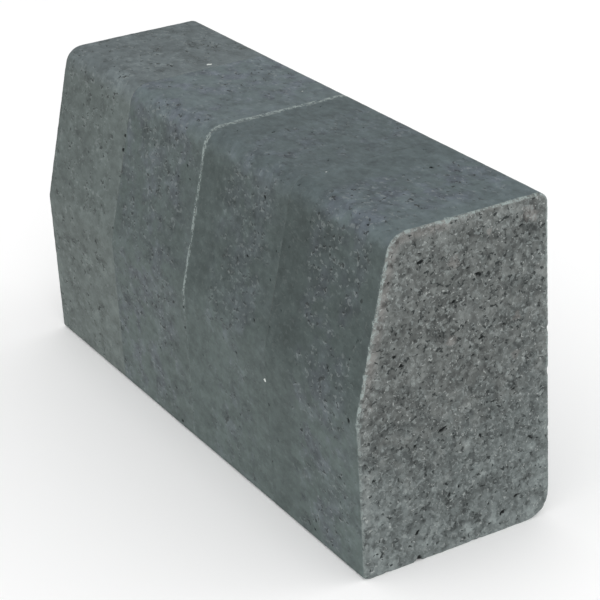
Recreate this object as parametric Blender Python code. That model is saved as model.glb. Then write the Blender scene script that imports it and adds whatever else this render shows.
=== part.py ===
"""A dry-laid run of half-battered concrete kerb blocks, standing the way they are laid.

Frame: metres, +Z up, origin at the middle of the run's base. +X runs along the kerb
line, -Y is the road side, which carries the batter, and +Y is the footway side.

Each block is pressed on end in a mould of its own section, so it is one solid of constant
section along X. The blocks are butted end to end with nothing between them, and each one
can be lifted straight up out of the run.
"""

import math

import bmesh
import bpy
from mathutils import Vector

# The run.
BLOCK_COUNT = 4
JOINT_GAP = 0.0005  # dry butt joint, as tight as pressed blocks lie

# One block.
BLOCK_LENGTH = 0.100  # along the kerb line
BLOCK_WIDTH = 0.125  # road face to footway face, at the base
BLOCK_HEIGHT = 0.200
TOP_WIDTH = 0.100  # across the top, measured to the unrounded corners
KNEE_HEIGHT = 0.100  # where the upright road face leans back into the batter

# The section's rounded corners, and the blunted edge all round each end face.
ROAD_TOP_RADIUS = 0.013
FOOTWAY_TOP_RADIUS = 0.007
FOOTWAY_BASE_RADIUS = 0.015
ROAD_BASE_RADIUS = 0.0025
KNEE_RADIUS = 0.004
ARRIS_RADIUS = 0.0008
ARC_STEP = math.radians(9)  # turn of one facet on a rounded corner
SHARP_ANGLE = math.radians(20)  # edges that turn more than this are shaded sharp
CAP_WELD = 0.00001  # joins the extrusion's caps to its sides

# Cast grey of each block, from the far end of the run to the near one: linear RGB.
CONCRETE_GREYS = (
    (0.140, 0.160, 0.158),
    (0.128, 0.147, 0.147),
    (0.118, 0.138, 0.140),
    (0.120, 0.139, 0.140),
)
CONCRETE_ROUGHNESS = 0.92


def clear_scene():
    for obj in list(bpy.data.objects):
        bpy.data.objects.remove(obj, do_unlink=True)


def section_corners():
    """The section's corners as (y, z) with their radii, anticlockwise seen from +X."""
    back = BLOCK_WIDTH / 2
    front = -BLOCK_WIDTH / 2
    return (
        (Vector((front, 0)), ROAD_BASE_RADIUS),
        (Vector((back, 0)), FOOTWAY_BASE_RADIUS),
        (Vector((back, BLOCK_HEIGHT)), FOOTWAY_TOP_RADIUS),
        (Vector((back - TOP_WIDTH, BLOCK_HEIGHT)), ROAD_TOP_RADIUS),
        (Vector((front, KNEE_HEIGHT)), KNEE_RADIUS),
    )


def corner_arc(before, corner, after, radius):
    """Points of the arc that rounds off a corner between its two neighbours."""
    towards_before = (before - corner).normalized()
    towards_after = (after - corner).normalized()
    half_angle = towards_before.angle(towards_after) / 2
    bisector = (towards_before + towards_after).normalized()
    centre = corner + bisector * radius / math.sin(half_angle)
    turn = math.pi - 2 * half_angle
    steps = max(2, math.ceil(turn / ARC_STEP))
    first = corner + towards_before * radius / math.tan(half_angle) - centre
    start = math.atan2(first.y, first.x)
    points = []
    for step in range(steps + 1):
        angle = start + turn * step / steps
        points.append(centre + radius * Vector((math.cos(angle), math.sin(angle))))
    return points


def section_outline():
    corners = section_corners()
    outline = []
    for index, (corner, radius) in enumerate(corners):
        before = corners[index - 1][0]
        after = corners[(index + 1) % len(corners)][0]
        outline += corner_arc(before, corner, after, radius)
    return outline


def section_curve():
    """The filled section, extruded to the block's length, with rounded arrises.

    A curve's bevel grows its outline by the bevel's depth, so the outline is drawn in by
    as much, and the extrusion is that much shorter at each end.
    """
    curve = bpy.data.curves.new("kerb_section", "CURVE")
    curve.dimensions = "2D"
    curve.fill_mode = "BOTH"
    curve.extrude = BLOCK_LENGTH / 2 - ARRIS_RADIUS
    curve.bevel_depth = ARRIS_RADIUS
    curve.bevel_resolution = 1
    curve.offset = -ARRIS_RADIUS
    outline = section_outline()
    spline = curve.splines.new("POLY")
    spline.points.add(len(outline) - 1)
    for point, place in zip(spline.points, outline):
        point.co = (place.x, place.y, 0, 1)
    spline.use_cyclic_u = True
    return curve


def block_mesh():
    """The block as a closed mesh: section in its local XY, length along its local Z."""
    curve = section_curve()
    outline = bpy.data.objects.new("kerb_section", curve)
    bpy.context.scene.collection.objects.link(outline)
    graph = bpy.context.evaluated_depsgraph_get()
    mesh = bpy.data.meshes.new_from_object(outline.evaluated_get(graph))
    mesh.name = "kerb_block"
    bpy.data.objects.remove(outline, do_unlink=True)
    bpy.data.curves.remove(curve)
    shape = bmesh.new()
    shape.from_mesh(mesh)
    bmesh.ops.remove_doubles(shape, verts=shape.verts, dist=CAP_WELD)
    shape.to_mesh(mesh)
    shape.free()
    mesh.materials.clear()
    mesh.materials.append(None)
    mesh.shade_smooth()
    mesh.set_sharp_from_angle(angle=SHARP_ANGLE)
    return mesh


def concrete(name, grey):
    material = bpy.data.materials.new(name)
    material.use_nodes = True
    shader = material.node_tree.nodes["Principled BSDF"]
    shader.inputs["Base Color"].default_value = (*grey, 1)
    shader.inputs["Roughness"].default_value = CONCRETE_ROUGHNESS
    shader.inputs["Metallic"].default_value = 0
    material.diffuse_color = (*grey, 1)
    return material


def block_centre(index):
    """Middle of a block's length, with the run centred on the origin."""
    pitch = BLOCK_LENGTH + JOINT_GAP
    return (index - (BLOCK_COUNT - 1) / 2) * pitch


def add_block(index, mesh, collection, run):
    """One block, its origin at the middle of its base and its length turned along X."""
    block = bpy.data.objects.new(f"kerb_block_{index + 1}", mesh)
    block.location = (block_centre(index), 0, 0)
    block.rotation_euler = (math.pi / 2, 0, math.pi / 2)
    block.parent = run
    collection.objects.link(block)
    slot = block.material_slots[0]
    slot.link = "OBJECT"
    slot.material = concrete(f"concrete_{index + 1}", CONCRETE_GREYS[index])


def build():
    clear_scene()
    collection = bpy.data.collections.new("half_battered_kerb_run")
    bpy.context.scene.collection.children.link(collection)
    run = bpy.data.objects.new("kerb_run", None)
    collection.objects.link(run)
    mesh = block_mesh()
    for index in range(BLOCK_COUNT):
        add_block(index, mesh, collection, run)


build()
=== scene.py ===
"""Looks for a dry-laid run of half-battered concrete kerb blocks.

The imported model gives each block's place and section. Each block gets one closed, finely
divided surface in place of its plain solid: mould-smooth long sides with blow holes, coarse
pressed end faces with open pits, and worn, chipped arrises between them. The concrete's
colour, aggregate and fine relief are procedural. All lengths are in metres.
"""

import itertools
import math

import bpy
import numpy as np
from mathutils import Matrix, Vector, geometry


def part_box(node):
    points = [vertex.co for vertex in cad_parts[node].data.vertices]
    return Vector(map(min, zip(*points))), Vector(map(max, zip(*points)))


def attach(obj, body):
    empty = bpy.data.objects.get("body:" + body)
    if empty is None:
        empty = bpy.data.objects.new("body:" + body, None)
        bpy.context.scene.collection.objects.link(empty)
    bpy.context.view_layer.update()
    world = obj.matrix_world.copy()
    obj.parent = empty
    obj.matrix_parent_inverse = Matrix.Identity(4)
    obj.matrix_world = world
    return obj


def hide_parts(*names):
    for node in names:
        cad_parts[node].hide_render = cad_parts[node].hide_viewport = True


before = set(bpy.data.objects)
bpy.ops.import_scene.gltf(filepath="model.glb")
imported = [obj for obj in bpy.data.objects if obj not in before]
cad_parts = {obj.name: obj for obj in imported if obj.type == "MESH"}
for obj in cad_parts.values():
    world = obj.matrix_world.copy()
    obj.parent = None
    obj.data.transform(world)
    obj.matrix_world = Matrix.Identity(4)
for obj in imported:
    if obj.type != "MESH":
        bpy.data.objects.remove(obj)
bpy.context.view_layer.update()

MM = 0.001

# Camera: a long lens from the road side, above the near end.
CAMERA_AZIMUTH = math.radians(61.11)
CAMERA_ELEVATION = math.radians(24.93)
CAMERA_ROLL = math.radians(-3.42)
CAMERA_DISTANCE = 1.2695
CAMERA_TARGET = Vector((0, 0.01813, 0.07261))
SENSOR_WIDTH = 36
LENS = 120.92

# Surface mesh.
CELL = 1.12 * MM  # spacing of the mesh on an ordinary block
NEAR_CELL = 0.86 * MM  # and on the near block, whose end face is in full view
EDGE_CELL_SHARE = 0.18  # width of the cells at an arris, against the others
EDGE_CELLS = 7  # cells over which they widen
MEAN_WIDTH = 0.88  # of the section, against its base
BUTT = 0.2 * MM  # how far the rough end faces stand into the joint that they butt at
SIDE_FADE = 2.5 * MM  # how far past the arris the long sides' relief reaches into an end face
END_FADE = 2.0 * MM  # and an end face's relief into the long sides
PIT_DEPTH = 0.8  # of the listed pits, against their width
RELIEF = 0.4 * MM  # height of the relief that the materials add
WANDER_SIZE = 2.4 * MM  # of the swirls that make the materials' marks ragged
WANDER_REACH = 3.5 * MM  # and how far they shift a mark

# Each block, from the far end of the run. lift is how much lighter it gets to its +X end, and
# batter and top are how light those faces are: partly the concrete's own tone, and partly
# painted shade that darkens the batter and painted light that brightens the top. arris and pale
# are the radius in millimetres and the paleness of its two end arrises, -X end first, the pale
# line being partly wear and partly painted highlight. blue is the cast of its broken skin,
# pits how pitted that is, and gather where it gathers, as places and radii.
BLOCKS = (
    {
        "grey": 0.116,
        "cast": (1.025, 1.01, 1.000),
        "lift": 0.10,
        "batter": 0.89,
        "top": 1.04,
        "arris": (1.0, 0.25),
        "pale": (0.2, 0.15),
        "blue": 0.0,
        "pits": 0.9,
        "gather": (),
    },
    {
        "grey": 0.106,
        "cast": (0.960, 1.00, 0.995),
        "lift": -0.05,
        "batter": 0.87,
        "top": 1.23,
        "arris": (0.25, 0.45),
        "pale": (0.0, 1.0),
        "blue": 1.0,
        "pits": 0.9,
        "gather": (((-0.050, -0.045, 0.170), 0.030), ((-0.030, -0.062, 0.080), 0.025)),
    },
    {
        "grey": 0.104,
        "cast": (0.950, 1.00, 0.995),
        "lift": -0.06,
        "batter": 0.765,
        "top": 1.02,
        "arris": (0.45, 0.10),
        "pale": (0.8, 0.0),
        "blue": 0.7,
        "pits": 0.7,
        "gather": (((0.060, -0.045, 0.165), 0.030), ((0.055, -0.058, 0.115), 0.022)),
    },
    {
        "grey": 0.093,
        "cast": (0.945, 1.00, 0.995),
        "lift": 0.08,
        "batter": 0.735,
        "top": 1.17,
        "arris": (0.10, 0.80),
        "pale": (0.0, 1.0),
        "blue": 1.0,
        "pits": 1.0,
        "gather": (
            ((0.155, -0.035, 0.190), 0.034),
            ((0.168, -0.060, 0.112), 0.022),
            ((0.172, -0.0625, 0.045), 0.020),
        ),
    },
)
# Casts of grey over a block's section (foot, batter and top), partly the concrete's own colour
# and partly painted light as it falls on each face, where its skin is whole or broken, and over
# the end faces: teal low down, warmer higher up, tan along the upper rim.
FOOT_CAST = (0.900, 1.052, 1.048)
BATTER_CAST = (0.885, 1.058, 1.060)
TOP_CAST = (0.870, 1.035, 1.115)
WHOLE_TINT = (0.99, 1.01, 0.98)
BROKEN_TINT = (1.03, 0.985, 1.06)
END_TEAL = (0.925, 1.055, 1.040)
END_WARM = (0.957, 1.036, 1.002)
END_TAN = (1.012, 1.019, 0.975)
END_GREY = 0.092
# Colours of painted shade in open pores and cracks, of painted shade in deep pits, of pale grit
# (also the painted highlight on pores' lower lips), of the pale arris line (partly wear, partly
# painted highlight), of bright specks and of lime.
PORE_AND_CRACK_SHADE = (0.020, 0.024, 0.024)
PAINTED_HOLLOW_SHADE = (0.006, 0.008, 0.008)
PALE = (0.26, 0.29, 0.285)
RUB_AND_HIGHLIGHT = (0.250, 0.292, 0.283)
SPECK = (0.34, 0.36, 0.35)
LIME = (0.55, 0.58, 0.56)
# Mottling of the long sides and of the end faces: size in millimetres, and gain.
SIDE_MOTTLE = ((1.8, 0.34), (3.2, 0.62), (6.0, 0.70), (12, 0.55), (32, 0.25))
END_MOTTLE = ((1.4, 0.34), (2.4, 0.85), (4.8, 1.35), (9, 1.40), (24, 0.95))
# How far apart two neighbouring blocks lie in the noise, so that no two look the same.
BLOCK_STEP = (1.7, 0.9, 2.3)
LAST = len(BLOCKS) - 1


def smooth(low, high, value):
    """0 below low, 1 above high, and an S-curve between them."""
    share = np.clip((value - low) / (high - low), 0, 1)
    return share * share * (3 - 2 * share)


def lattice(cell, seed):
    """A repeatable number from 0 to 1 for each point of an integer lattice."""
    x, y, z = (cell[..., k].astype(np.int64).astype(np.uint32) for k in range(3))
    mixed = x * np.uint32(374761393) + y * np.uint32(668265263) + z * np.uint32(2246822519)
    mixed += np.uint32(seed * 3266489917 & 0xFFFFFFFF)
    mixed = (mixed ^ (mixed >> np.uint32(15))) * np.uint32(2246822519)
    mixed = (mixed ^ (mixed >> np.uint32(13))) * np.uint32(3266489917)
    return (mixed ^ (mixed >> np.uint32(16))) / 2.0**32


def lumps(points, size, seed):
    """Smooth noise from -1 to 1, its lumps about size across."""
    scaled = points / size
    base = np.floor(scaled)
    part = scaled - base
    part = part * part * (3 - 2 * part)
    total = np.zeros(len(points))
    for corner in itertools.product((0, 1), repeat=3):
        weight = np.prod(np.where(corner, part, 1 - part), axis=-1)
        total += weight * lattice(base + corner, seed)
    return 2 * total - 1


def rough(points, size, seed, layers=3):
    """Layers of lumps, each half the size and half the height of the one before."""
    total = np.zeros(len(points))
    for layer in range(layers):
        total += lumps(points, size / 2**layer, seed + layer) / 2**layer
    return total / (2 - 2 / 2**layers)


def scattered(points, spacing, seed):
    """Distance to the nearest of many scattered spots, and that spot's own two numbers."""
    scaled = points / spacing
    base = np.floor(scaled)
    nearest = np.full(len(points), np.inf)
    numbers = np.zeros((2, len(points)))
    for step in itertools.product((-1, 0, 1), repeat=3):
        cell = base + step
        spot = cell + np.stack([lattice(cell, seed + k) for k in range(3)], axis=-1)
        distance = np.linalg.norm(spot - scaled, axis=-1)
        closer = distance < nearest
        nearest[closer] = distance[closer]
        for row, number in enumerate(numbers):
            number[closer] = lattice(cell[closer], seed + 3 + row)
    return nearest * spacing, numbers


def hollows(points, spacing, share, widest, seed):
    """Depth of scattered pits: a share of the spots is open, up to widest in radius."""
    distance, (chance, width) = scattered(points, spacing, seed)
    radius = widest * (0.35 + 0.65 * width)
    return np.where(chance < share, radius * smooth(1, 0.35, distance / radius), 0)


def graded(count):
    """Cell borders from 0 to 1, closer together towards both ends."""
    widths = np.ones(count)
    widths[:EDGE_CELLS] = np.linspace(EDGE_CELL_SHARE, 1, EDGE_CELLS, endpoint=False)
    widths[-EDGE_CELLS:] = widths[:EDGE_CELLS][::-1]
    return np.concatenate(([0], np.cumsum(widths))) / widths.sum()


def section_of(node):
    """The block's section as (y, z) points, anticlockwise seen from +X."""
    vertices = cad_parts[node].data.vertices
    flat = sorted({(round(v.co.y, 6), round(v.co.z, 6)) for v in vertices})
    hull = np.array([flat[index] for index in geometry.convex_hull_2d(flat)])
    y, z = hull.T
    area = (y * np.roll(z, -1) - np.roll(y, -1) * z).sum()
    return hull if area > 0 else hull[::-1]


class Section:
    """A convex section: spaced rings of points, and depths below its outline."""

    # Directions of its four rounded corners: road base, footway base, footway top, road top.
    CORNERS = ((-1, -1), (1, -1), (1, 1), (-0.62, 0.79))

    def __init__(self, outline):
        self.outline = outline
        along = np.roll(outline, -1, axis=0) - outline
        length = np.linalg.norm(along, axis=1)
        self.normals = np.stack([along[:, 1], -along[:, 0]], axis=1) / length[:, None]
        self.offsets = (self.normals * outline).sum(axis=1)

    def ring(self, across, up):
        """Points round the outline, across or up cells between neighbouring corners."""
        corners = [int(np.argmax(self.outline @ direction)) for direction in self.CORNERS]
        turned = np.roll(self.outline, -corners[0], axis=0)
        turned = np.concatenate([turned, turned[:1]])
        travel = np.concatenate([[0], np.cumsum(np.linalg.norm(np.diff(turned, axis=0), axis=1))])
        starts = [(corner - corners[0]) % len(self.outline) for corner in corners]
        stops = travel[[*starts, -1]]
        places = []
        for side, cells in enumerate((across, up, across, up)):
            places.append(stops[side] + (stops[side + 1] - stops[side]) * graded(cells)[:-1])
        places = np.concatenate(places)
        return np.stack([np.interp(places, travel, turned[:, k]) for k in (0, 1)], axis=1)

    def depth(self, points):
        """How far inside the outline each point lies, and the outward direction there."""
        depths = self.offsets - points @ self.normals.T
        nearest = depths.argmin(axis=1)
        return depths[np.arange(len(points)), nearest], self.normals[nearest]


def end_grid(ring, across, up):
    """Points across the section between the four sides of its ring: a Coons patch."""
    u = graded(across)[None, :, None]
    v = graded(up)[:, None, None]
    bottom = ring[: across + 1][None]
    back = ring[across : across + up + 1][:, None]
    top = ring[across + up : 2 * across + up + 1][::-1][None]
    front = np.concatenate([ring[2 * across + up :], ring[:1]])[::-1][:, None]
    edges = (1 - v) * bottom + v * top + (1 - u) * front + u * back
    low = (1 - u) * bottom[:, :1] + u * bottom[:, -1:]
    high = (1 - u) * top[:, :1] + u * top[:, -1:]
    return edges - (1 - v) * low - v * high


def quads(index):
    """The cells of a grid of point numbers, as quads."""
    corners = (index[:-1, :-1], index[:-1, 1:], index[1:, 1:], index[1:, :-1])
    return np.stack(corners, axis=-1).reshape(-1, 4)


def block_surface(node, cell):
    """The block's whole surface: points, faces, and 1 for each point of an end face."""
    low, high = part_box(node)
    section = Section(section_of(node))
    across = round((high.y - low.y) * MEAN_WIDTH / cell)
    up = round((high.z - low.z) / cell)
    along = round((high.x - low.x) / cell)
    ring = section.ring(across, up)
    count = len(ring)
    stations = low.x + (high.x - low.x) * graded(along)
    sides = np.empty((along + 1, count, 3))
    sides[..., 0] = stations[:, None]
    sides[..., 1:] = ring
    strip = np.arange((along + 1) * count).reshape(along + 1, count)
    strip = np.concatenate([strip, strip[:, :1]], axis=1)
    faces = [quads(strip)]
    points = [sides.reshape(-1, 3)]
    patch = end_grid(ring, across, up)
    inside = patch[1:-1, 1:-1].reshape(-1, 2)
    for station, first, turned in ((high.x, strip[-1, 0], False), (low.x, strip[0, 0], True)):
        start = sum(len(part) for part in points)
        index = np.empty((up + 1, across + 1), int)
        rim = first + np.arange(count + 1) % count
        index[0] = rim[: across + 1]
        index[:, -1] = rim[across : across + up + 1]
        index[-1] = rim[across + up : 2 * across + up + 1][::-1]
        index[:, 0] = rim[2 * across + up :][::-1]
        index[1:-1, 1:-1] = start + np.arange(len(inside)).reshape(up - 1, across - 1)
        faces.append(quads(index[:, ::-1] if turned else index))
        points.append(np.column_stack([np.full(len(inside), station), inside]))
    is_end = np.zeros(sum(len(part) for part in points))
    is_end[len(points[0]) :] = 1
    return section, np.concatenate(points), np.concatenate(faces), is_end


# Single features of the near end face, as (y, z), length, width and tilt in degrees.
END_PITS = (
    ((-0.0085, 0.0770), 6.0, 2.0, 20),
    ((0.0250, 0.0840), 4.0, 1.1, -10),
    ((0.0175, 0.0330), 5.0, 1.1, -5),
    ((0.0175, 0.1630), 4.5, 1.8, -20),
    ((0.0010, 0.1510), 3.0, 2.0, 30),
    ((0.0185, 0.1250), 3.5, 1.5, 15),
    ((0.0305, 0.0110), 4.0, 2.2, 35),
    ((-0.0195, 0.1800), 3.5, 1.8, 10),
    ((-0.0270, 0.0180), 4.0, 1.6, 25),
    ((0.0400, 0.0190), 3.0, 1.8, 0),
)
# Pale patches of the near end face, as (y, z) and radius.
END_PATCHES = (
    ((-0.0155, 0.0410), 3.5),
    ((0.0500, 0.1890), 6.0),
    ((-0.0570, 0.1040), 5.0),
    ((0.0065, 0.0100), 4.0),
    ((0.0245, 0.1860), 2.6),
    ((0.0405, 0.1090), 4.0),
    ((0.0415, 0.1310), 4.0),
    ((-0.0005, 0.1290), 4.5),
    ((0.0015, 0.1740), 5.0),
    ((-0.0500, 0.0330), 4.0),
    ((-0.0540, 0.0140), 4.5),
    ((0.0360, 0.0960), 2.6),
    ((0.0090, 0.0860), 2.8),
    ((0.0060, 0.0640), 4.0),
)
# Where the near end face is most cracked, and how far round.
MOST_CRACKED = ((0.200, 0.003, 0.150), 0.040)
# Single marks of the long sides: bright lime specks and open blow holes, with their radius.
LIME_SPECKS = (
    ((-0.1067, 0.0205, 0.2000), 1.5),
    ((-0.0226, 0.0405, 0.2000), 0.8),
    ((0.0987, -0.0625, 0.0820), 1.1),
    ((0.1030, -0.0175, 0.2000), 0.7),
)
BLOW_HOLES = (
    ((0.1655, 0.0257, 0.2000), 1.0),
    ((0.1595, -0.0608, 0.1070), 1.5),
    ((0.1855, -0.0475, 0.1600), 1.2),
    ((-0.1270, -0.0625, 0.0900), 1.4),
    ((-0.0407, -0.0625, 0.0760), 1.3),
    ((-0.0147, -0.0625, 0.0888), 1.2),
    ((0.1495, -0.0625, 0.0140), 1.1),
)
# Bites out of the arrises of blocks' +X ends, as (y, z), radius and depth.
ARRIS_BITES = {
    0: (
        ((-0.0435, 0.1760), 2.0, 0.7),
        ((-0.0455, 0.1680), 2.4, 0.9),
        ((-0.0478, 0.1590), 2.4, 1.0),
        ((-0.0520, 0.1420), 2.0, 0.8),
        ((-0.0558, 0.1270), 1.8, 0.7),
        ((-0.0605, 0.1080), 2.2, 0.8),
        ((-0.0625, 0.0620), 1.6, 0.5),
    ),
    1: (
        ((-0.0625, 0.0900), 2.0, 0.8),
        ((-0.0625, 0.0760), 1.8, 0.8),
        ((-0.0625, 0.0600), 1.6, 0.6),
        ((-0.0625, 0.0340), 1.8, 0.7),
        ((-0.0590, 0.1170), 1.4, 0.4),
    ),
    2: (
        ((-0.0625, 0.0650), 1.8, 0.6),
        ((-0.0625, 0.0400), 1.6, 0.5),
    ),
    3: (
        ((-0.0625, 0.0000), 4.0, 0.9),
        ((-0.0270, 0.0000), 3.6, 1.6),
        ((-0.0480, 0.0000), 3.0, 0.7),
        ((-0.0625, 0.0960), 2.2, 0.9),
        ((-0.0490, 0.1530), 1.8, 0.8),
        ((-0.0520, 0.1400), 2.0, 0.7),
        ((-0.0565, 0.1240), 1.8, 0.8),
        ((-0.0440, 0.1780), 1.6, 0.6),
        ((-0.0020, 0.2000), 2.6, 0.8),
        ((0.0085, 0.2000), 2.2, 0.7),
        ((0.0325, 0.2000), 1.6, 0.5),
        ((0.0625, 0.1180), 2.4, 0.5),
        ((0.0625, 0.0920), 2.8, 0.6),
        ((0.0625, 0.0560), 2.0, 0.4),
        ((0.0100, 0.0000), 2.4, 0.6),
    ),
}


def worn_arris(index, rim, depth, inset, near, butted, seed):
    """The arris's radius, the bites out of it, and how far it draws in the sides and the ends."""
    low_radius, high_radius = BLOCKS[index]["arris"]
    radius = np.where(near, high_radius, low_radius) * MM
    radius = radius * (1 + 0.45 * rough(rim, 5 * MM, seed + 1))
    crumbled = smooth(0.36, 0.8, rough(rim, 7 * MM, seed + 5))
    radius += np.where(butted, 0.5, 1.0) * MM * crumbled
    bitten = np.zeros(len(rim))
    for (y, z), size, bite in ARRIS_BITES[index]:
        away = np.hypot(rim[:, 1] - y, rim[:, 2] - z) / (size * MM)
        away += 0.35 * lumps(rim, 2 * MM, seed + 9)
        bitten += np.where(near, bite * MM * smooth(1.0, 0.2, away), 0)
    radius += 2.2 * bitten
    side_gap = np.maximum(radius - depth, 0)
    end_gap = np.maximum(radius - inset, 0)
    reach = np.hypot(side_gap, end_gap)
    beyond = (side_gap > 0) & (end_gap > 0) & (reach > radius)
    share = np.where(beyond, radius / np.maximum(reach, 1e-9), 1)
    return radius, bitten, side_gap * (1 - share), end_gap * (1 - share)


def side_shape(points, warped, seed):
    """Relief of the long sides, a little out of true and dragged along X, and its blow holes."""
    drag = points * (0.05, 1, 1)
    blow_holes = hollows(warped, 8 * MM, 0.55, 1.5 * MM, seed + 20)
    relief = 0.12 * MM * rough(points, 34 * MM, seed + 30)
    relief += 0.07 * MM * rough(points, 3.5 * MM, seed + 34, 2)
    relief += 0.02 * MM * lumps(drag, 1.6 * MM, seed + 37)
    return relief + 0.8 * blow_holes, blow_holes


def end_shape(points, warped, depth, seed):
    """Relief of the end faces, stones in paste that is calmer along the rim, and their pits."""
    coarse = smooth(1.5 * MM, 9 * MM, depth)
    stones, (height, _) = scattered(warped, 3.4 * MM, seed + 40)
    pits = hollows(warped, 8 * MM, 0.35, 1.9 * MM, seed + 50)
    crumbs = hollows(warped, 3.4 * MM, 0.35, 1.1 * MM, seed + 60)
    relief = 0.12 * MM * (1 + rough(points, 26 * MM, seed + 70))
    relief += (0.25 + 0.45 * coarse) * MM * height * smooth(0.2, 1.9, stones / MM)
    relief += (0.12 + 0.22 * coarse) * MM * (1 + rough(points, 3.0 * MM, seed + 73, 2))
    return relief, (pits + crumbs) * (0.35 + 0.65 * coarse)


def placed_pits(points, seed):
    """Depth of the near end face's own pits."""
    deepest = np.zeros(len(points))
    for (y, z), length, width, tilt in END_PITS:
        turn = math.radians(tilt)
        across = points[:, 1:] - (y, z)
        s = (across @ (math.cos(turn), math.sin(turn))) / (length / 2 * MM)
        t = (across @ (-math.sin(turn), math.cos(turn))) / (width / 2 * MM)
        away = np.hypot(s, t) + 0.4 * lumps(points, 1.4 * MM, seed + 80)
        deepest = np.maximum(deepest, width * PIT_DEPTH * MM * smooth(1.3, 0.75, away))
    return deepest


def arris_rub_and_highlight(index, points, rim, from_arris, near, butted, seed):
    """How pale each point is, partly wear and partly painted highlight: an uneven line along the
    arris, faint at the foot.
    """
    low_pale, high_pale = BLOCKS[index]["pale"]
    foot_share = np.where(butted, 0.2, 0.45)
    above_foot = smooth(0.080, 0.105, points[:, 2])
    paleness = np.where(near, high_pale, low_pale) * (foot_share + (1 - foot_share) * above_foot)
    width = 1.10 + 0.9 * rough(rim, 8 * MM, seed + 90)
    width = (width + butted * (0.15 + 1.3 * smooth(0.176, 0.192, points[:, 2]))) * MM
    return paleness * smooth(width, 0.3 * width, from_arris)


def weathered(index, node, cell):
    """The block's surface after casting and handling, with what its material needs."""
    section, points, faces, is_end = block_surface(node, cell)
    low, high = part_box(node)
    seed = 100 * index
    depth, outward = section.depth(points[:, 1:])
    depth = np.maximum(depth, 0)
    near = points[:, 0] > (low.x + high.x) / 2
    butted = np.where(near, index < LAST, index > 0)
    inset = np.where(near, high.x - points[:, 0], points[:, 0] - low.x)
    rim = points.copy()
    rim[:, 1:] += outward * depth[:, None]
    rim[:, 0] = np.where(near, high.x, low.x)
    warp = np.stack([lumps(points, 2.6 * MM, seed + 11 + k) for k in range(3)], axis=-1)
    warped = points + 1.3 * MM * warp

    radius, bitten, sink_side, sink_end = worn_arris(index, rim, depth, inset, near, butted, seed)
    side_relief, blow_holes = side_shape(points, warped, seed)
    end_relief, end_hollow = end_shape(points, warped, depth, seed)
    if index == LAST:
        end_hollow = np.maximum(end_hollow, np.where(near, placed_pits(points, seed), 0))
    end_relief = (end_relief + end_hollow) * np.where(butted, smooth(0.2 * MM, 5 * MM, depth), 1)

    # Each relief fades out round the arris, so that the two meet there.
    side_share = smooth(SIDE_FADE, 0, depth) * (1 - is_end * smooth(0, SIDE_FADE, depth))
    end_share = smooth(END_FADE, 0, inset)
    placed = points.copy()
    placed[:, 1:] -= outward * (sink_side + side_relief * side_share)[:, None]
    placed[:, 0] -= np.where(near, 1, -1) * (sink_end + (end_relief - BUTT * butted) * end_share)

    from_arris = np.hypot(depth, inset) - 0.7 * radius
    # How open each point is: pits, blow holes and bites out of the arris, which the material
    # darkens with painted shade.
    opened = 1.2 * blow_holes * (1 - is_end) + end_hollow * end_share
    opened += np.where(butted, 0.85, 0.65) * bitten * smooth(1.6 * MM, 0.4 * MM, from_arris)
    attributes = {
        "on_end": np.maximum(is_end, np.where(butted, 0, smooth(1.0 * MM, 0.3 * MM, inset))),
        "rub_and_highlight": arris_rub_and_highlight(index, points, rim, from_arris, near, butted, seed),
        "hollow": smooth(0.15 * MM, 1.1 * MM, opened),
        "pale": pale_rim(points, depth),
    }
    return placed, faces, attributes


def pale_rim(points, depth):
    """How much paler the end face is: along its rim, most of all by the batter, and in patches."""
    y, z = points[:, 1], points[:, 2]
    by_batter = (y < 0) * smooth(0.095, 0.125, z)
    pale = 0.16 * smooth(14 * MM, 6 * MM, depth)
    pale += 0.28 * by_batter * smooth(9 * MM, 1 * MM, depth)
    pale += 0.10 * smooth(0.1965, 0.1990, z)
    pale += 0.17 * smooth(0.080, 0.030, z) + 0.14 * smooth(0.016, 0.006, z)
    for (patch_y, patch_z), size in END_PATCHES:
        away = np.hypot(y - patch_y, z - patch_z) / (size * MM)
        away += 0.4 * lumps(points, 2.2 * MM, 90)
        pale += 0.46 * smooth(1.1, 0.3, away)
    return pale


def mesh_object(name, points, faces, attributes):
    mesh = bpy.data.meshes.new(name)
    mesh.from_pydata(points.tolist(), [], faces.tolist())
    mesh.shade_smooth()
    for label, values in attributes.items():
        layer = mesh.attributes.new(label, "FLOAT", "POINT")
        layer.data.foreach_set("value", values.astype(np.float32))
    mesh.update()
    piece = bpy.data.objects.new(name, mesh)
    bpy.context.scene.collection.objects.link(piece)
    return piece


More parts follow.
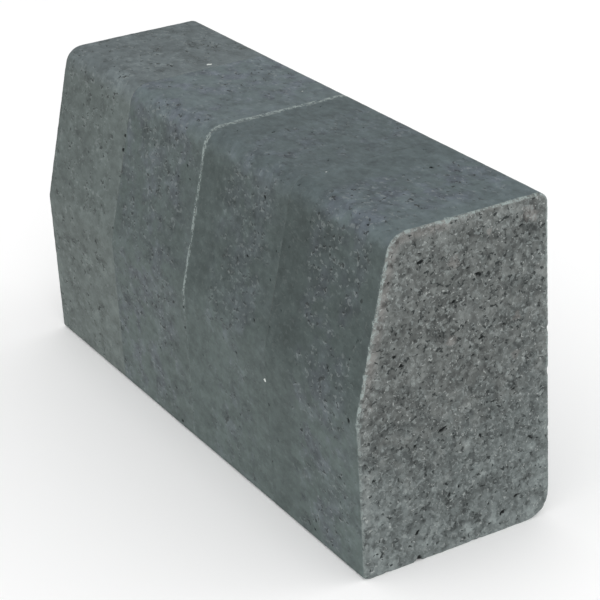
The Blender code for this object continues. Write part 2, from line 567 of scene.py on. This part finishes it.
class Nodes:
    """Short calls for building one material's node tree."""

    def __init__(self, name):
        self.material = bpy.data.materials.new(name)
        self.material.use_nodes = True
        self.tree = self.material.node_tree
        self.shader = self.tree.nodes["Principled BSDF"]

    def set(self, socket, value):
        if isinstance(value, bpy.types.NodeSocket):
            self.tree.links.new(value, socket)
        elif isinstance(value, tuple) and len(value) == 3 and socket.type == "RGBA":
            socket.default_value = (*value, 1)
        else:
            socket.default_value = value

    def node(self, kind, inputs=(), **settings):
        made = self.tree.nodes.new(kind)
        for key, value in settings.items():
            setattr(made, key, value)
        for key, value in dict(inputs).items():
            self.set(made.inputs[key], value)
        return made

    def math(self, operation, first, second=0.0):
        made = self.node("ShaderNodeMath", {0: first, 1: second}, operation=operation)
        return made.outputs[0]

    def vector(self, operation, first, second):
        made = self.node("ShaderNodeVectorMath", {0: first, 1: second}, operation=operation)
        return made.outputs[0]

    def scaled(self, vector, share):
        """A vector or a colour times one number."""
        made = self.node("ShaderNodeVectorMath", {0: vector}, operation="SCALE")
        self.set(made.inputs["Scale"], share)
        return made.outputs[0]

    def moved(self, vector, by):
        """The same space, shifted far enough for noise in it to be unrelated."""
        return self.vector("ADD", vector, (by, by, by))

    def attribute(self, name):
        return self.node("ShaderNodeAttribute", attribute_name=name).outputs["Fac"]

    def span(self, value, low, high, start=0.0, stop=1.0):
        """value from low to high becomes start to stop along an S-curve."""
        made = self.node("ShaderNodeMapRange", interpolation_type="SMOOTHSTEP")
        names = ("Value", "From Min", "From Max", "To Min", "To Max")
        for name, given in zip(names, (value, low, high, start, stop)):
            self.set(made.inputs[name], given)
        return made.outputs["Result"]

    def noise(self, vector, size, detail=3.0, roughness=0.55, colour=False):
        made = self.node(
            "ShaderNodeTexNoise",
            {"Vector": vector, "Scale": 1 / size, "Detail": detail, "Roughness": roughness},
        )
        return made.outputs["Color" if colour else "Fac"]

    def cells(self, vector, size):
        """Distance from the nearest cell border, in cells, and the cell's own random numbers."""
        inputs = {"Vector": vector, "Scale": 1 / size}
        edge = self.node("ShaderNodeTexVoronoi", inputs, feature="DISTANCE_TO_EDGE")
        cell = self.node("ShaderNodeTexVoronoi", inputs)
        numbers = self.node("ShaderNodeSeparateColor", {0: cell.outputs["Color"]}).outputs
        return edge.outputs["Distance"], numbers

    def spot(self, vector, centre, radius):
        """1 within a ragged spot, and 0 beyond it."""
        away = self.node("ShaderNodeVectorMath", {0: vector, 1: centre}, operation="DISTANCE")
        return self.span(away.outputs["Value"], 1.2 * radius, 0.7 * radius)

    def product(self, *values):
        total = values[0]
        for value in values[1:]:
            total = self.math("MULTIPLY", total, value)
        return total

    def mottle(self, vector, sizes):
        """1, give or take noise of several sizes in millimetres, each with its own gain."""
        total = 1.0
        for size, gain in sizes:
            patch = self.noise(vector, size * MM, 1.0)
            patch = self.math("MULTIPLY", self.math("SUBTRACT", patch, 0.5), gain)
            total = self.math("ADD", total, patch)
        return total

    def mix(self, share, first, second):
        """Colour from first to second as share goes from 0 to 1."""
        made = self.node("ShaderNodeMix", data_type="RGBA")
        colours = [socket for socket in made.inputs if socket.type == "RGBA"]
        self.set(made.inputs[0], share)
        self.set(colours[0], first)
        self.set(colours[1], second)
        return next(socket for socket in made.outputs if socket.type == "RGBA")

    def tint(self, colour, factors):
        """colour, each of its channels times its own factor."""
        return self.vector("MULTIPLY", colour, factors)


def broken_skin(n, index, place, seeded, along):
    """How whole the mould skin is along the block, and where it is broken and pitted."""
    skin = n.span(along, 0.10, 0.30) if index > 1 else 1.0
    gather = n.noise(seeded, 13 * MM, 3.0)
    for centre, radius in BLOCKS[index]["gather"]:
        gather = n.math("ADD", gather, n.product(n.spot(place, centre, radius), 0.12))
    broken = n.product(
        n.span(gather, 0.40, 0.60),
        n.span(skin, 0.0, 1.0, 0.1, 1.0),
        n.span(along, 1.0, 0.86, 0.3, 1.0),
    )
    return skin, broken


def side_paste(n, index, node, place, seeded):
    """Colour of the long sides' paste, with partly painted shade and light per face, and where its
    skin is broken.
    """
    low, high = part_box(node)
    given = BLOCKS[index]
    part = n.node("ShaderNodeSeparateXYZ", {0: place}).outputs
    along = n.span(part[0], low.x, high.x)
    road = n.span(part[1], -0.028, -0.046)
    top = n.span(part[2], high.z - 16 * MM, high.z - 1 * MM)
    above_knee = n.span(part[2], 0.085, 0.125)
    below_top = n.span(part[2], high.z - 1 * MM, high.z - 16 * MM)
    batter = n.product(road, above_knee, below_top)
    skin, broken = broken_skin(n, index, place, seeded, along)

    # Each face's cast: partly the concrete's own colour, partly painted light on the top and
    # painted shade on the batter.
    cast = n.mix(top, n.mix(batter, FOOT_CAST, BATTER_CAST), TOP_CAST)
    patches = n.span(n.noise(seeded, 17 * MM, 2.0), 0.38, 0.62, 0.3, 1.0)
    bluish = n.product(patches, broken, given["blue"])
    cast = n.mix(bluish, n.tint(cast, WHOLE_TINT), n.tint(cast, BROKEN_TINT))
    # The grey: darker on the batter and lighter on the top (partly own tone, partly painted shade
    # and painted light), lighter low down on the foot, and changed by the lift towards +X.
    tone_and_painted_light = n.product(
        given["grey"],
        n.span(batter, 0.0, 1.0, 1.0, given["batter"]),
        n.span(top, 0.0, 1.0, 1.0, given["top"]),
        n.span(part[2], 0.0, 0.10, 1.10, 0.96),
        n.span(along, 0.3, 1.0, 1.0, 1.0 + given["lift"]),
    )
    mottled = n.mottle(n.vector("MULTIPLY", seeded, (0.7, 1.0, 1.0)), SIDE_MOTTLE)
    calm = n.span(broken, 0.0, 1.0, 0.65, 1.1)
    mottled = n.math("ADD", 1.0, n.math("MULTIPLY", n.math("SUBTRACT", mottled, 1.0), calm))
    light = n.product(tone_and_painted_light, mottled, n.span(skin, 0.0, 1.0, 0.93, 1.0))
    return n.scaled(n.tint(cast, given["cast"]), light), broken


def side_look(n, index, node, place, seeded):
    """Colour and height of the long sides: dark paste with flecks, open pores darkened with painted
    shade and given a painted highlight on their lower lips, and lime specks.
    """
    colour, broken = side_paste(n, index, node, place, seeded)
    pitted = n.span(broken, 0.0, 1.0, 0.2, BLOCKS[index]["pits"])
    drawn = n.vector("MULTIPLY", seeded, (0.6, 1.0, 1.0))
    fleck = n.product(n.span(n.noise(n.moved(drawn, 0.5), 2.5 * MM, 1.0), 0.59, 0.68), pitted)
    colour = n.mix(n.product(fleck, 0.28), colour, PALE)
    # Painted highlight: a pale crescent just below each pore, where its lower lip would catch the
    # light.
    below = n.vector("ADD", drawn, (-0.2 * MM, 0.4 * MM, 0.8 * MM))
    painted_lip_highlight = n.product(n.span(n.noise(below, 2.8 * MM, 1.0), 0.64, 0.70), pitted)
    colour = n.mix(n.product(painted_lip_highlight, 0.27), colour, PALE)
    # Painted shade: open pores and blow holes darkened nearly to black.
    hole = n.product(n.span(n.noise(drawn, 2.8 * MM, 1.0), 0.655, 0.695), pitted)
    for centre, radius in BLOW_HOLES:
        hole = n.math("MAXIMUM", hole, n.spot(place, centre, radius * MM))
    colour = n.mix(n.product(hole, 0.8), colour, PORE_AND_CRACK_SHADE)
    for centre, radius in LIME_SPECKS:
        colour = n.mix(n.spot(place, centre, radius * MM), colour, LIME)
    height = n.math("ADD", n.noise(drawn, 1.6 * MM, 2.0, 0.6), n.product(fleck, 0.25))
    return colour, n.math("SUBTRACT", n.product(height, 0.5), hole)


def end_paste(n, part, ragged):
    """Colour of the end faces' paste, before it is mottled."""
    pale = n.attribute("pale")
    warm = n.math("ADD", n.span(part[2], 0.02, 0.13), n.span(part[1], -0.01, 0.06, 0.0, -0.35))
    warm = n.math("ADD", warm, n.span(n.noise(ragged, 9 * MM, 3.0), 0.3, 0.7, -0.35, 0.35))
    cast = n.mix(n.span(warm, 0.0, 1.0), END_TEAL, END_WARM)
    tan = n.product(n.span(pale, 0.12, 0.38), n.span(part[2], 0.085, 0.120))
    cast = n.mix(tan, cast, END_TAN)
    return n.scaled(cast, n.product(END_GREY, n.math("ADD", 1.0, pale)))


def end_cracks(n, place, part, ragged, edge):
    """Cracks round the stones, fewer in pale paste and low down, and small lying crevices."""
    centre, radius = MOST_CRACKED
    coarse = n.product(n.spot(place, centre, radius), 0.035)
    cracked = n.math("ADD", n.noise(ragged, 3.6 * MM, 2.0), coarse)
    calm = n.span(n.attribute("pale"), 0.18, 0.45, 1.0, 0.35)
    calm = n.product(calm, n.span(part[2], 0.02, 0.10, 0.75, 1.0))
    crack = n.product(n.span(edge, 0.15, 0.07), n.span(cracked, 0.610, 0.665), calm)
    lying = n.vector("MULTIPLY", ragged, (1.0, 0.55, 1.0))
    return n.math("MAXIMUM", crack, n.span(n.noise(lying, 2.6 * MM, 1.0), 0.69, 0.735))


def end_look(n, place, ragged):
    """Colour and height of the end faces: open, grainy concrete full of small crevices, darkened
    with painted shade.
    """
    part = n.node("ShaderNodeSeparateXYZ", {0: place}).outputs
    paste = end_paste(n, part, ragged)
    colour = n.scaled(paste, n.mottle(ragged, END_MOTTLE))
    edge, numbers = n.cells(ragged, 3.2 * MM)
    stone = n.scaled(paste, n.span(numbers[1], 0.0, 1.0, 0.45, 1.8))
    shown = n.product(n.span(edge, 0.03, 0.12), n.span(numbers[0], 0.55, 0.62))
    colour = n.mix(n.product(shown, 0.42), colour, stone)
    grainy = n.span(n.attribute("pale"), 0.30, 0.50, 0.0, 0.035)
    grain = n.math("ADD", n.noise(n.moved(ragged, 0.2), 2.8 * MM, 1.0), grainy)
    colour = n.mix(n.product(n.span(grain, 0.60, 0.68), 0.38), colour, PALE)
    arc = n.span(n.noise(n.moved(ragged, 0.4), 3.0 * MM, 2.0), 0.53, 0.60)
    arc = n.product(n.span(edge, 0.14, 0.04), arc)
    colour = n.mix(n.product(arc, 0.25), colour, PALE)
    crack = end_cracks(n, place, part, ragged, edge)
    # Painted shade: cracks and crevices darkened nearly to black.
    colour = n.mix(n.product(crack, 0.92), colour, PORE_AND_CRACK_SHADE)
    speck = n.span(n.noise(n.moved(ragged, 0.3), 1.9 * MM, 1.0), 0.675, 0.73)
    colour = n.mix(n.product(speck, 0.6), colour, SPECK)
    height = n.math("SUBTRACT", n.noise(ragged, 1.5 * MM, 4.0, 0.7), n.product(crack, 0.7))
    return colour, height


def concrete(index, node):
    n = Nodes(f"concrete_{index + 1}")
    place = n.node("ShaderNodeTexCoord").outputs["Object"]
    seeded = n.vector("ADD", place, tuple(index * step for step in BLOCK_STEP))
    swirl = n.noise(seeded, WANDER_SIZE, 2.0, colour=True)
    wander = n.scaled(n.vector("SUBTRACT", swirl, (0.5, 0.5, 0.5)), WANDER_REACH)
    ragged = n.vector("ADD", seeded, wander)
    side, side_height = side_look(n, index, node, n.vector("ADD", place, wander), ragged)
    end, end_height = end_look(n, place, ragged)
    on_end = n.attribute("on_end")
    # The pale arris line, partly wear and partly painted highlight, broken up in crumbs.
    unbroken = 0.2 if index == LAST else 0.05
    crumbled = n.span(n.noise(ragged, 2.6 * MM, 3.0, 0.7), 0.45, 0.56, unbroken, 1.0)
    pale = n.product(n.attribute("rub_and_highlight"), crumbled, 0.95)
    colour = n.mix(pale, n.mix(on_end, side, end), RUB_AND_HIGHLIGHT)
    # Painted shade: pits, blow holes and arris bites darkened nearly to black.
    colour = n.mix(n.span(n.attribute("hollow"), 0.20, 0.80), colour, PAINTED_HOLLOW_SHADE)
    relief = n.node("ShaderNodeMix", {0: on_end, 2: side_height, 3: end_height}, data_type="FLOAT")
    bump_inputs = {"Height": relief.outputs[0], "Strength": 0.8, "Distance": RELIEF}
    bump = n.node("ShaderNodeBump", bump_inputs)
    n.set(n.shader.inputs["Base Color"], colour)
    n.set(n.shader.inputs["Normal"], bump.outputs["Normal"])
    n.set(n.shader.inputs["Roughness"], n.span(relief.outputs[0], 0.2, 0.7, 0.95, 0.84))
    n.shader.inputs["Specular IOR Level"].default_value = 0.3
    return n.material


def add_block(index):
    node = f"kerb_block_{index + 1}"
    cell = NEAR_CELL if index == LAST else CELL
    piece = mesh_object(f"{node}_surface", *weathered(index, node, cell))
    piece.data.materials.append(concrete(index, node))
    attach(piece, f"block_{index + 1}")
    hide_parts(node)


def add_floor():
    bpy.ops.mesh.primitive_plane_add(size=12)
    floor = bpy.context.object
    floor.name = "floor"
    n = Nodes("pale_floor")
    n.set(n.shader.inputs["Base Color"], (0.95, 0.95, 0.95))
    n.shader.inputs["Roughness"].default_value = 0.9
    n.shader.inputs["Specular IOR Level"].default_value = 0.2
    floor.data.materials.append(n.material)


def add_light(name, location, target, size, power):
    data = bpy.data.lights.new(name, "AREA")
    data.shape = "DISK"
    data.size = size
    data.energy = power
    lamp = bpy.data.objects.new(name, data)
    lamp.location = location
    lamp.rotation_euler = (Vector(target) - Vector(location)).to_track_quat("-Z", "Y").to_euler()
    bpy.context.scene.collection.objects.link(lamp)


def add_lights():
    world = bpy.data.worlds.new("studio")
    world.use_nodes = True
    background = world.node_tree.nodes["Background"]
    background.inputs["Color"].default_value = (1, 1, 1, 1)
    background.inputs["Strength"].default_value = 1.0
    bpy.context.scene.world = world
    centre = (0, 0, 0.1)
    add_light("near_end_softbox", (2.4, -0.9, 0.8), centre, 1.4, 18)
    add_light("road_side_softbox", (-0.6, -2.3, 0.7), centre, 1.6, 5)
    add_light("footway_softbox", (0.9, 2.2, 0.7), centre, 1.4, 12)


def add_camera():
    azimuth, elevation, roll = CAMERA_AZIMUTH, CAMERA_ELEVATION, CAMERA_ROLL
    level = math.cos(elevation)
    back = Vector((math.sin(azimuth) * level, -math.cos(azimuth) * level, math.sin(elevation)))
    right = Vector((math.cos(azimuth), math.sin(azimuth), 0))
    up = back.cross(right)
    rolled_right = right * math.cos(roll) + up * math.sin(roll)
    rolled_up = up * math.cos(roll) - right * math.sin(roll)
    data = bpy.data.cameras.new("camera")
    data.sensor_width = SENSOR_WIDTH
    data.lens = LENS
    camera = bpy.data.objects.new("camera", data)
    turn = Matrix((rolled_right, rolled_up, back)).transposed()
    camera.matrix_world = Matrix.Translation(CAMERA_TARGET + back * CAMERA_DISTANCE) @ turn.to_4x4()
    bpy.context.scene.collection.objects.link(camera)
    bpy.context.scene.camera = camera


bpy.context.scene.view_settings.view_transform = "Standard"
for index in range(len(BLOCKS)):
    add_block(index)
add_floor()
add_lights()
add_camera()
